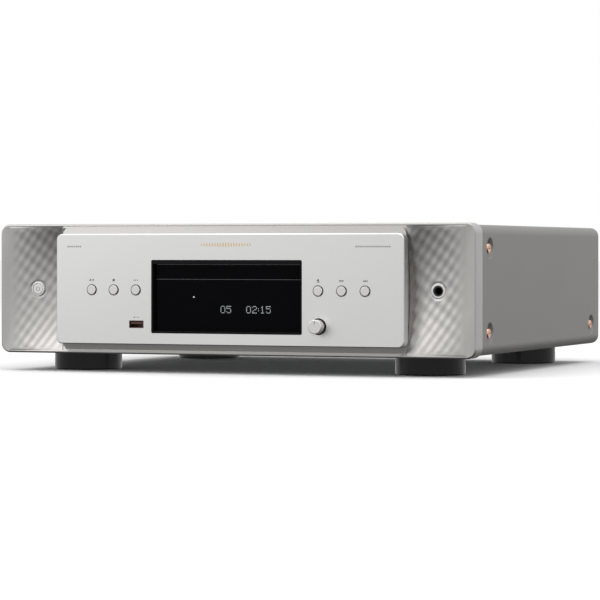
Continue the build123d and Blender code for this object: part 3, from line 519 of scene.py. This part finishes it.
def bar(mesh, centre, size, depth, turn=0.0):
    """Flat rectangular solid in the XY plane of a mark."""
    made = bmesh.ops.create_cube(mesh, size=1.0)
    place = Matrix.Translation((centre[0], centre[1], depth / 2)) @ Matrix.Rotation(turn, 4, "Z")
    bmesh.ops.transform(
        mesh,
        matrix=place @ Matrix.Diagonal((size[0], size[1], depth, 1)),
        verts=made["verts"],
    )


def prism(mesh, centre, radius, depth, sides, turn=0.0, stretch=1.0):
    """Flat solid with equal sides, such as a triangle or a disc."""
    made = bmesh.ops.create_cone(
        mesh, cap_ends=True, cap_tris=False, segments=sides, radius1=radius, radius2=radius, depth=depth
    )
    place = Matrix.Translation((centre[0], centre[1], depth / 2)) @ Matrix.Rotation(turn, 4, "Z")
    bmesh.ops.transform(mesh, matrix=place @ Matrix.Diagonal((1, stretch, 1, 1)), verts=made["verts"])


def ring(mesh, centre, inner, outer, depth, segments=40, sweep=2 * pi, start=0.0):
    """Flat ring or arc, spun from a small rectangle."""
    corners = [mesh.verts.new(
        (r, 0, z),
    ) for r, z in ((inner, 0), (outer, 0), (outer, depth), (inner, depth))]
    section = mesh.faces.new(corners)
    full = abs(sweep - 2 * pi) < 1e-6
    turned = Matrix.Rotation(start, 4, "Z")
    bmesh.ops.transform(mesh, matrix=turned, verts=corners)
    geometry = list(section.verts) + list(section.edges) + ([] if full else [section])
    if full:
        mesh.faces.remove(section)
    made = bmesh.ops.spin(
        mesh, geom=geometry, cent=(0, 0, 0), axis=(0, 0, 1), angle=sweep, steps=segments, use_merge=full
    )
    reached = set(corners)
    stack = list(corners)
    while stack:
        for edge in stack.pop().link_edges:
            for vertex in edge.verts:
                if vertex not in reached:
                    reached.add(vertex)
                    stack.append(vertex)
    bmesh.ops.translate(mesh, verts=list(reached), vec=(centre[0], centre[1], 0))
    bmesh.ops.recalc_face_normals(mesh, faces=mesh.faces)
    return made


MARK = 0.00006
ink = finish("ink_grey", (0.10, 0.10, 0.10), 0.55, grains=(900.0, 0.2, 0.2), bump=0.05)
gilt = finish("gilt_mark", (0.78, 0.55, 0.26), 0.30, 1.0, grains=(900.0, 0.1, 0.2), bump=0.05)
plate_face = plate_low.y
print("plate face", round(plate_face, 4))

# %% [markdown]
# ## Printed marks
# The plate is printed with small grey symbols that say what each button does. They are common playback
# signs, cut from bars and triangles a few hundredths of a millimetre thick. The ornament above the
# window and the short strokes in the corners are plain shapes that spell nothing.

# %% Symbol helpers


def stand_up(name, mesh, place, slot, body, material):
    """Stand a flat mark on a front face at (x, z), proud of the face at y."""
    x, y, z = place
    bmesh.ops.transform(mesh, matrix=facing_front(x, y, z), verts=mesh.verts)
    return new_piece(name, mesh, slot, body, material)


def triangle(mesh, centre, size, turn):
    prism(mesh, centre, size, MARK, 3, turn)


def symbol(kind):
    """Playback sign in the XY plane, about 3 mm wide."""
    mesh = bmesh.new()
    if kind == "play":
        triangle(mesh, (-1.0 * MM, 0), 0.95 * MM, radians(0))
        for x in (0.6, 1.3):
            bar(mesh, (x * MM, 0), (0.36 * MM, 1.5 * MM), MARK)
    elif kind == "stop":
        bar(mesh, (0, 0), (1.6 * MM, 1.6 * MM), MARK)
    elif kind == "input":
        for x in (-1.3, 0, 1.3):
            prism(mesh, (x * MM, 0), 0.36 * MM, MARK, 16)
    elif kind == "open":
        triangle(mesh, (0, 0.35 * MM), 1.15 * MM, radians(90))
        bar(mesh, (0, -0.80 * MM), (2.0 * MM, 0.40 * MM), MARK)
    else:
        way = -1 if kind == "previous" else 1
        for x in (-0.8, 0.45):
            triangle(mesh, (way * x * MM, 0), 0.85 * MM, radians(0 if way > 0 else 180))
        bar(mesh, (way * 1.45 * MM, 0), (0.34 * MM, 1.5 * MM), MARK)
    bmesh.ops.scale(mesh, vec=(1.3, 1.3, 1.0), verts=mesh.verts)
    return mesh


def centre_of(name):
    low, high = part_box(name)
    return (low + high) / 2


for kind in ("play", "stop", "input", "open", "previous", "next"):
    spot = centre_of(kind + "_button")
    stand_up(
        "mark_" + kind,
        symbol(kind),
        (spot.x, plate_face, spot.z + 8.5 * MM),
        "plate_metal",
        "chassis",
        ink,
    )
print("signs placed")

# %% Painted gap shadows around the buttons
shade = finish(
    "gap_shadow",
    (0.004, 0.004, 0.004),
    0.6,
    grains=(900.0, 0.2, 0.2),
    bump=0.02,
    Specular_IOR_Level=0.05,
)
# a thin black ring on the plate around each button is painted shadow of the gap
for kind in ("play", "stop", "input", "open", "previous", "next"):
    spot = centre_of(kind + "_button")
    mesh = bmesh.new()
    ring(mesh, (0, 0), 4.50 * MM, 4.85 * MM, MARK)
    stand_up("painted_gap_shadow_" + kind, mesh, (spot.x, plate_face, spot.z), "bezel_black", "chassis", shade)
print("surrounds placed")

# %% Plate ornament and corner strokes
mesh = bmesh.new()
for step in range(-9, 10):
    tall = 3.4 - 0.16 * abs(step)
    bar(mesh, (step * 2.5 * MM, 0), (1.0 * MM, tall * MM), MARK)
stand_up("plate_ornament", mesh, (0, plate_face, 110.7 * MM), "gold_jack", "chassis", gilt)
for name, start, end, z in (
    ("corner_strokes_left", -151.0, -135.4, 109.3),
    ("corner_strokes_right", 117.8, 150.7, 109.1),
):
    mesh = bmesh.new()
    count = int((end - start) / 2.0)
    for step in range(count):
        bar(mesh, ((start + 1 + step * 2.0) * MM, 0), (0.9 * MM, 1.3 * MM), MARK)
    stand_up(name, mesh, (0, plate_face, z * MM), "plate_metal", "chassis", ink)
print("ornament placed")

# %% Power sign
power_at = centre_of("power_button")
mesh = bmesh.new()
ring(mesh, (0, 0), 1.55 * MM, 1.95 * MM, MARK, 30, radians(290), radians(125))
bar(mesh, (0, 1.5 * MM), (0.4 * MM, 1.8 * MM), MARK)
power_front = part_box("power_button")[0].y
stand_up(
    "mark_power",
    mesh,
    (power_at.x, power_front, power_at.z),
    "button_silver",
    "power_button_cap",
    ink,
)
print("power sign at", round(power_front, 4))

# %% Knob scale and socket sign
knob_at = centre_of("level_knob")
mesh = bmesh.new()
for step in range(11):
    around = radians(-60 + 300 * step / 10)
    spoke = (cos(around) * 8.6 * MM, sin(around) * 8.6 * MM)
    bar(mesh, spoke, (0.9 * MM, 0.22 * MM), MARK, around)
stand_up("knob_scale", mesh, (knob_at.x, plate_face, knob_at.z), "plate_metal", "chassis", ink)
socket_at = centre_of("usb_socket")
mesh = bmesh.new()
bar(mesh, (0, 0), (4.2 * MM, 0.24 * MM), MARK)
prism(mesh, (-2.1 * MM, 0), 0.5 * MM, MARK, 16)
triangle(mesh, (2.1 * MM, 0), 0.5 * MM, 0)
stand_up(
    "socket_sign",
    mesh,
    (socket_at.x, plate_face, socket_at.z + 6.1 * MM),
    "plate_metal",
    "chassis",
    ink,
)
print("scale and sign placed")

# %% [markdown]
# ## Display figures
# The display lights small square dots, seven high and five across, to show a track number and a time.
# Each figure is a pattern of dots raised just off the glass, with a soft grey-white glow.

# %% Dot figures
figures = {
    "0": ("01110", "10001", "10001", "10001", "10001", "10001", "01110"),
    "1": ("00100", "01100", "00100", "00100", "00100", "00100", "01110"),
    "2": ("01110", "10001", "00001", "00110", "01000", "10000", "11111"),
    "5": ("11111", "10000", "11110", "00001", "00001", "10001", "01110"),
    ":": ("0", "0", "1", "0", "1", "0", "0"),
}
glow = finish("display_glow", (0.36, 0.38, 0.39), 0.5, grains=(900.0, 0.1, 0.2), bump=0.02)
glow_surface = glow.node_tree.nodes["Principled BSDF"]
glow_surface.inputs["Emission Color"].default_value = (0.80, 0.86, 0.88, 1)
glow_surface.inputs["Emission Strength"].default_value = 0.14
glass_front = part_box("display_window")[0].y
dot_pitch = 0.914 * MM


def figure_row(name, text, left, low):
    """Dots of a short number, from its left edge and lowest row."""
    mesh = bmesh.new()
    column = 0
    for sign in text:
        rows = figures[sign]
        for down, row in enumerate(rows):
            for across, lit in enumerate(row):
                if lit == "1":
                    x = left + (column + across + 0.5) * dot_pitch
                    z = low + (6 - down + 0.5) * dot_pitch
                    bar(mesh, (x, z), (0.58 * MM, 0.58 * MM), MARK)
        column += len(rows[0]) + 1
    return stand_up(name, mesh, (0, glass_front, 0), "window_black", "chassis", glow)


figure_row("track_figures", "05", -6.8 * MM, 52.2 * MM)
figure_row("time_figures", "02:15", 17.0 * MM, 52.2 * MM)
mesh = bmesh.new()
prism(mesh, (-31.7 * MM, 65.9 * MM), 0.75 * MM, MARK, 20)
stand_up("indicator_dot", mesh, (0, glass_front, 0), "window_black", "chassis", glow)

# %% Knob pointer
knob_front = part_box("level_knob")[0].y
mesh = bmesh.new()
bar(mesh, (0, 3.4 * MM), (0.5 * MM, 2.2 * MM), 0.00003)
bmesh.ops.transform(mesh, matrix=facing_front(knob_at.x, knob_front + 0.00003, knob_at.z), verts=mesh.verts)
new_piece("knob_pointer", mesh, "button_silver", "level", ink)
print("pointer at", round(knob_front, 4))

# %% [markdown]
# ## Painted highlights on the window edges
# The tray door and the glass below it have fine polished edges that catch the light. Each highlight is
# painted as a grey strip a third of a millimetre high. The upper one rides on the tray, so that it leaves
# with the door.

# %% Painted edge highlights
painted_window_highlight = finish("painted_window_highlight", (0.075, 0.075, 0.08), 0.35, grains=(900.0, 0.1, 0.2), bump=0.02)
door_low, door_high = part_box("tray_door")
glass_low, glass_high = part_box("display_window")
for name, low, high, top, body in (
    ("door_edge_line", door_low, door_high, door_high.z, "tray"),
    ("glass_edge_line", glass_low, glass_high, glass_high.z, "chassis"),
):
    # each grey strip is a painted highlight on a polished edge
    mesh = bmesh.new()
    bar(mesh, (0, 0), (high.x - low.x - 3 * MM, 0.32 * MM), MARK)
    stand_up(name, mesh, ((low.x + high.x) / 2, low.y, top - 0.3 * MM), "bezel_black", body, painted_window_highlight)
print("edge lines placed")

# %% [markdown]
# ## Back panel details
# The phono sockets have coloured collars, white for left and red for right, with black for the
# digital one. Short strokes stand in for the printed wording beside each group.

# %% Collars and strokes
back_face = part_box("rear_panel")[1].y


def facing_back(x, y, z):
    """Matrix that stands a flat XY shape up to face the rear."""
    return Matrix.Translation(
        (x, y, z),
    ) @ Matrix.Rotation(radians(180), 4, "Z") @ Matrix.Rotation(radians(90), 4, "X")


def on_back(name, mesh, x, z, slot, material):
    bmesh.ops.transform(mesh, matrix=facing_back(x, back_face, z), verts=mesh.verts)
    return new_piece(name, mesh, slot, "chassis", material)


collar_colours = {
    "analog_out_left": (0.80, 0.80, 0.78),
    "analog_out_right": (0.55, 0.03, 0.03),
    "coaxial_out": (0.02, 0.02, 0.02),
}
for name, colour in collar_colours.items():
    spot = centre_of(name)
    collar = finish("collar_" + name, colour, 0.40, grains=(1100.0, 0.1, 0.2), bump=0.08)
    mesh = bmesh.new()
    ring(mesh, (0, 0), 6.1 * MM, 7.3 * MM, 0.8 * MM)
    on_back("collar_" + name, mesh, spot.x, spot.z, "jack_black", collar)
for name in ("analog_out_left", "coaxial_out", "optical_out", "remote_sockets", "mains_inlet"):
    spot, top = centre_of(name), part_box(name)[1].z
    mesh = bmesh.new()
    for step in range(-3, 4):
        bar(mesh, (step * 2.1 * MM, 0), (1.3 * MM, 0.6 * MM), MARK)
    on_back("strokes_" + name, mesh, spot.x, top + 4 * MM, "zinc_steel", ink)
print("back face", round(back_face, 4))

# %% [markdown]
# ## Wing relief
# Each wing of the fascia carries a soft quilted texture. It is real relief: a fine grid follows the
# wing's dish, lozenges rise from it by a few tenths of a millimetre, and they fade out towards the
# player's side, where the skin sinks into the moulding.

# %% Wing skins
land = 1.4 * MM + 0.3 * MM
dish_low = fascia_low.z + land
dish_high = fascia_high.z - land
dish_end = fascia_high.x - land
dish_mid = (dish_low + dish_high) / 2
dish_half = (dish_high - dish_low) / 2
boss_half = 160.0 * MM
dish_root = boss_half - 9.0 * MM
root_sagitta = 9.0 * MM * (dish_end - dish_root) / (dish_end - boss_half)
root_arc = (dish_half**2 + root_sagitta**2) / (2 * root_sagitta)
root_angle = math.asin(dish_half / root_arc)
ring_z = (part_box("power_ring")[0].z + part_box("power_ring")[1].z) / 2
ring_x = (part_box("headphone_ring")[0].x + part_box("headphone_ring")[1].x) / 2


def wing_depth(x, z):
    """How far the smooth wing, ruled from a curved root to a flat end, lies behind the front edge."""
    flat = min(1.0, (abs(x) - dish_root) / (dish_end - dish_root))
    u = (z - dish_mid) / dish_half
    for _ in range(4):
        reached = (1 - flat) * root_arc * sin(root_angle * u) + flat * dish_half * u
        rate = (1 - flat) * root_arc * root_angle * cos(root_angle * u) + flat * dish_half
        u += (z - dish_mid - reached) / rate
    bow = root_arc * (cos(root_angle * u) - cos(root_angle))
    return (1 - flat) * max(0.0, bow)


# the formula is compared with the moulding itself, so that a skin can't float or sink
shell = frame["nodes"]["front_fascia"].data
shell_tree = BVHTree.FromPolygons(
    [v.co for v in shell.vertices],
    [tuple(f.vertices) for f in shell.polygons],
)
misfit = 0.0
for step_x in range(12):
    for step_z in range(12):
        x = boss_half + (2 + step_x * 4) * MM
        z = dish_low + (3 + step_z * 9) * MM
        hit = shell_tree.ray_cast(Vector((x, fascia_low.y - 0.01, z)), Vector((0, 1, 0)))[0]
        if hit is not None and sqrt((x - ring_x) ** 2 + (z - ring_z) ** 2) > 8 * MM:
            misfit = max(misfit, abs(hit.y - fascia_low.y - wing_depth(x, z)))
print("wing formula misfit in mm", round(misfit / MM, 3))


def ease(value, low, high):
    """Smooth step from 0 at low to 1 at high."""
    t = min(1.0, max(0.0, (value - low) / (high - low)))
    return t * t * (3 - 2 * t)


quilt_a = (5.2 * MM, -4.2 * MM)
quilt_b = (-6.1 * MM, -8.5 * MM)
quilt_area = quilt_a[0] * quilt_b[1] - quilt_a[1] * quilt_b[0]
quilt_rise = 0.28 * MM


def quilt(x, z):
    """Lozenges on a slanted lattice, from 0 in the valleys to 1 on the crests."""
    u = (x * quilt_b[1] - z * quilt_b[0]) / quilt_area
    v = (z * quilt_a[0] - x * quilt_a[1]) / quilt_area
    return 0.5 + 0.25 * (cos(2 * pi * u) + cos(2 * pi * v))


def wing_skin(side):
    """Quilted skin of the left (-1) or right (+1) wing."""
    inner, outer = boss_half + 0.06 * MM, boss_half + 55.0 * MM
    low, high = dish_low + 0.3 * MM, dish_high - 0.3 * MM
    mesh = bmesh.new()
    across, up = 76, 150
    bmesh.ops.create_grid(mesh, x_segments=across, y_segments=up, size=0.5)
    gone = []
    for vertex in mesh.verts:
        x = inner + (vertex.co.x + 0.5) * (outer - inner)
        z = low + (vertex.co.y + 0.5) * (high - low)
        from_ring = sqrt((x - ring_x) ** 2 + (z - ring_z) ** 2)
        strength = ease(outer - x, 1.0 * MM, 19.0 * MM) * ease(min(z - low, high - z), 0, 5.0 * MM)
        strength *= ease(from_ring, 6.8 * MM, 8.6 * MM)
        proud = 0.10 * MM + quilt_rise * strength * quilt(side * x, z)
        sunk = min(
            ease(outer - x, 0, 6.0 * MM),
            ease(z - low, 0, 1.2 * MM),
            ease(high - z, 0, 1.2 * MM),
            ease(from_ring, 6.5 * MM, 7.2 * MM),
        )
        rise = -0.08 * MM + (proud + 0.08 * MM) * sunk
        vertex.co = Vector((side * x, fascia_low.y + wing_depth(x, z) - rise, z))
        if from_ring < 5.9 * MM:
            gone.append(vertex)
    bmesh.ops.delete(mesh, geom=gone, context="VERTS")
    bmesh.ops.recalc_face_normals(mesh, faces=mesh.faces)
    if sum(face.normal.y for face in mesh.faces) > 0:
        bmesh.ops.reverse_faces(mesh, faces=mesh.faces)
    for face in mesh.faces:
        face.smooth = True
    name = "wing_relief_left" if side < 0 else "wing_relief_right"
    piece = new_piece(name, mesh, "champagne_shell", "chassis")
    wall = piece.modifiers.new("wall", "SOLIDIFY")
    wall.thickness = 0.5 * MM
    wall.offset = -1.0
    return piece


for side in (-1, 1):
    print(wing_skin(side).name)

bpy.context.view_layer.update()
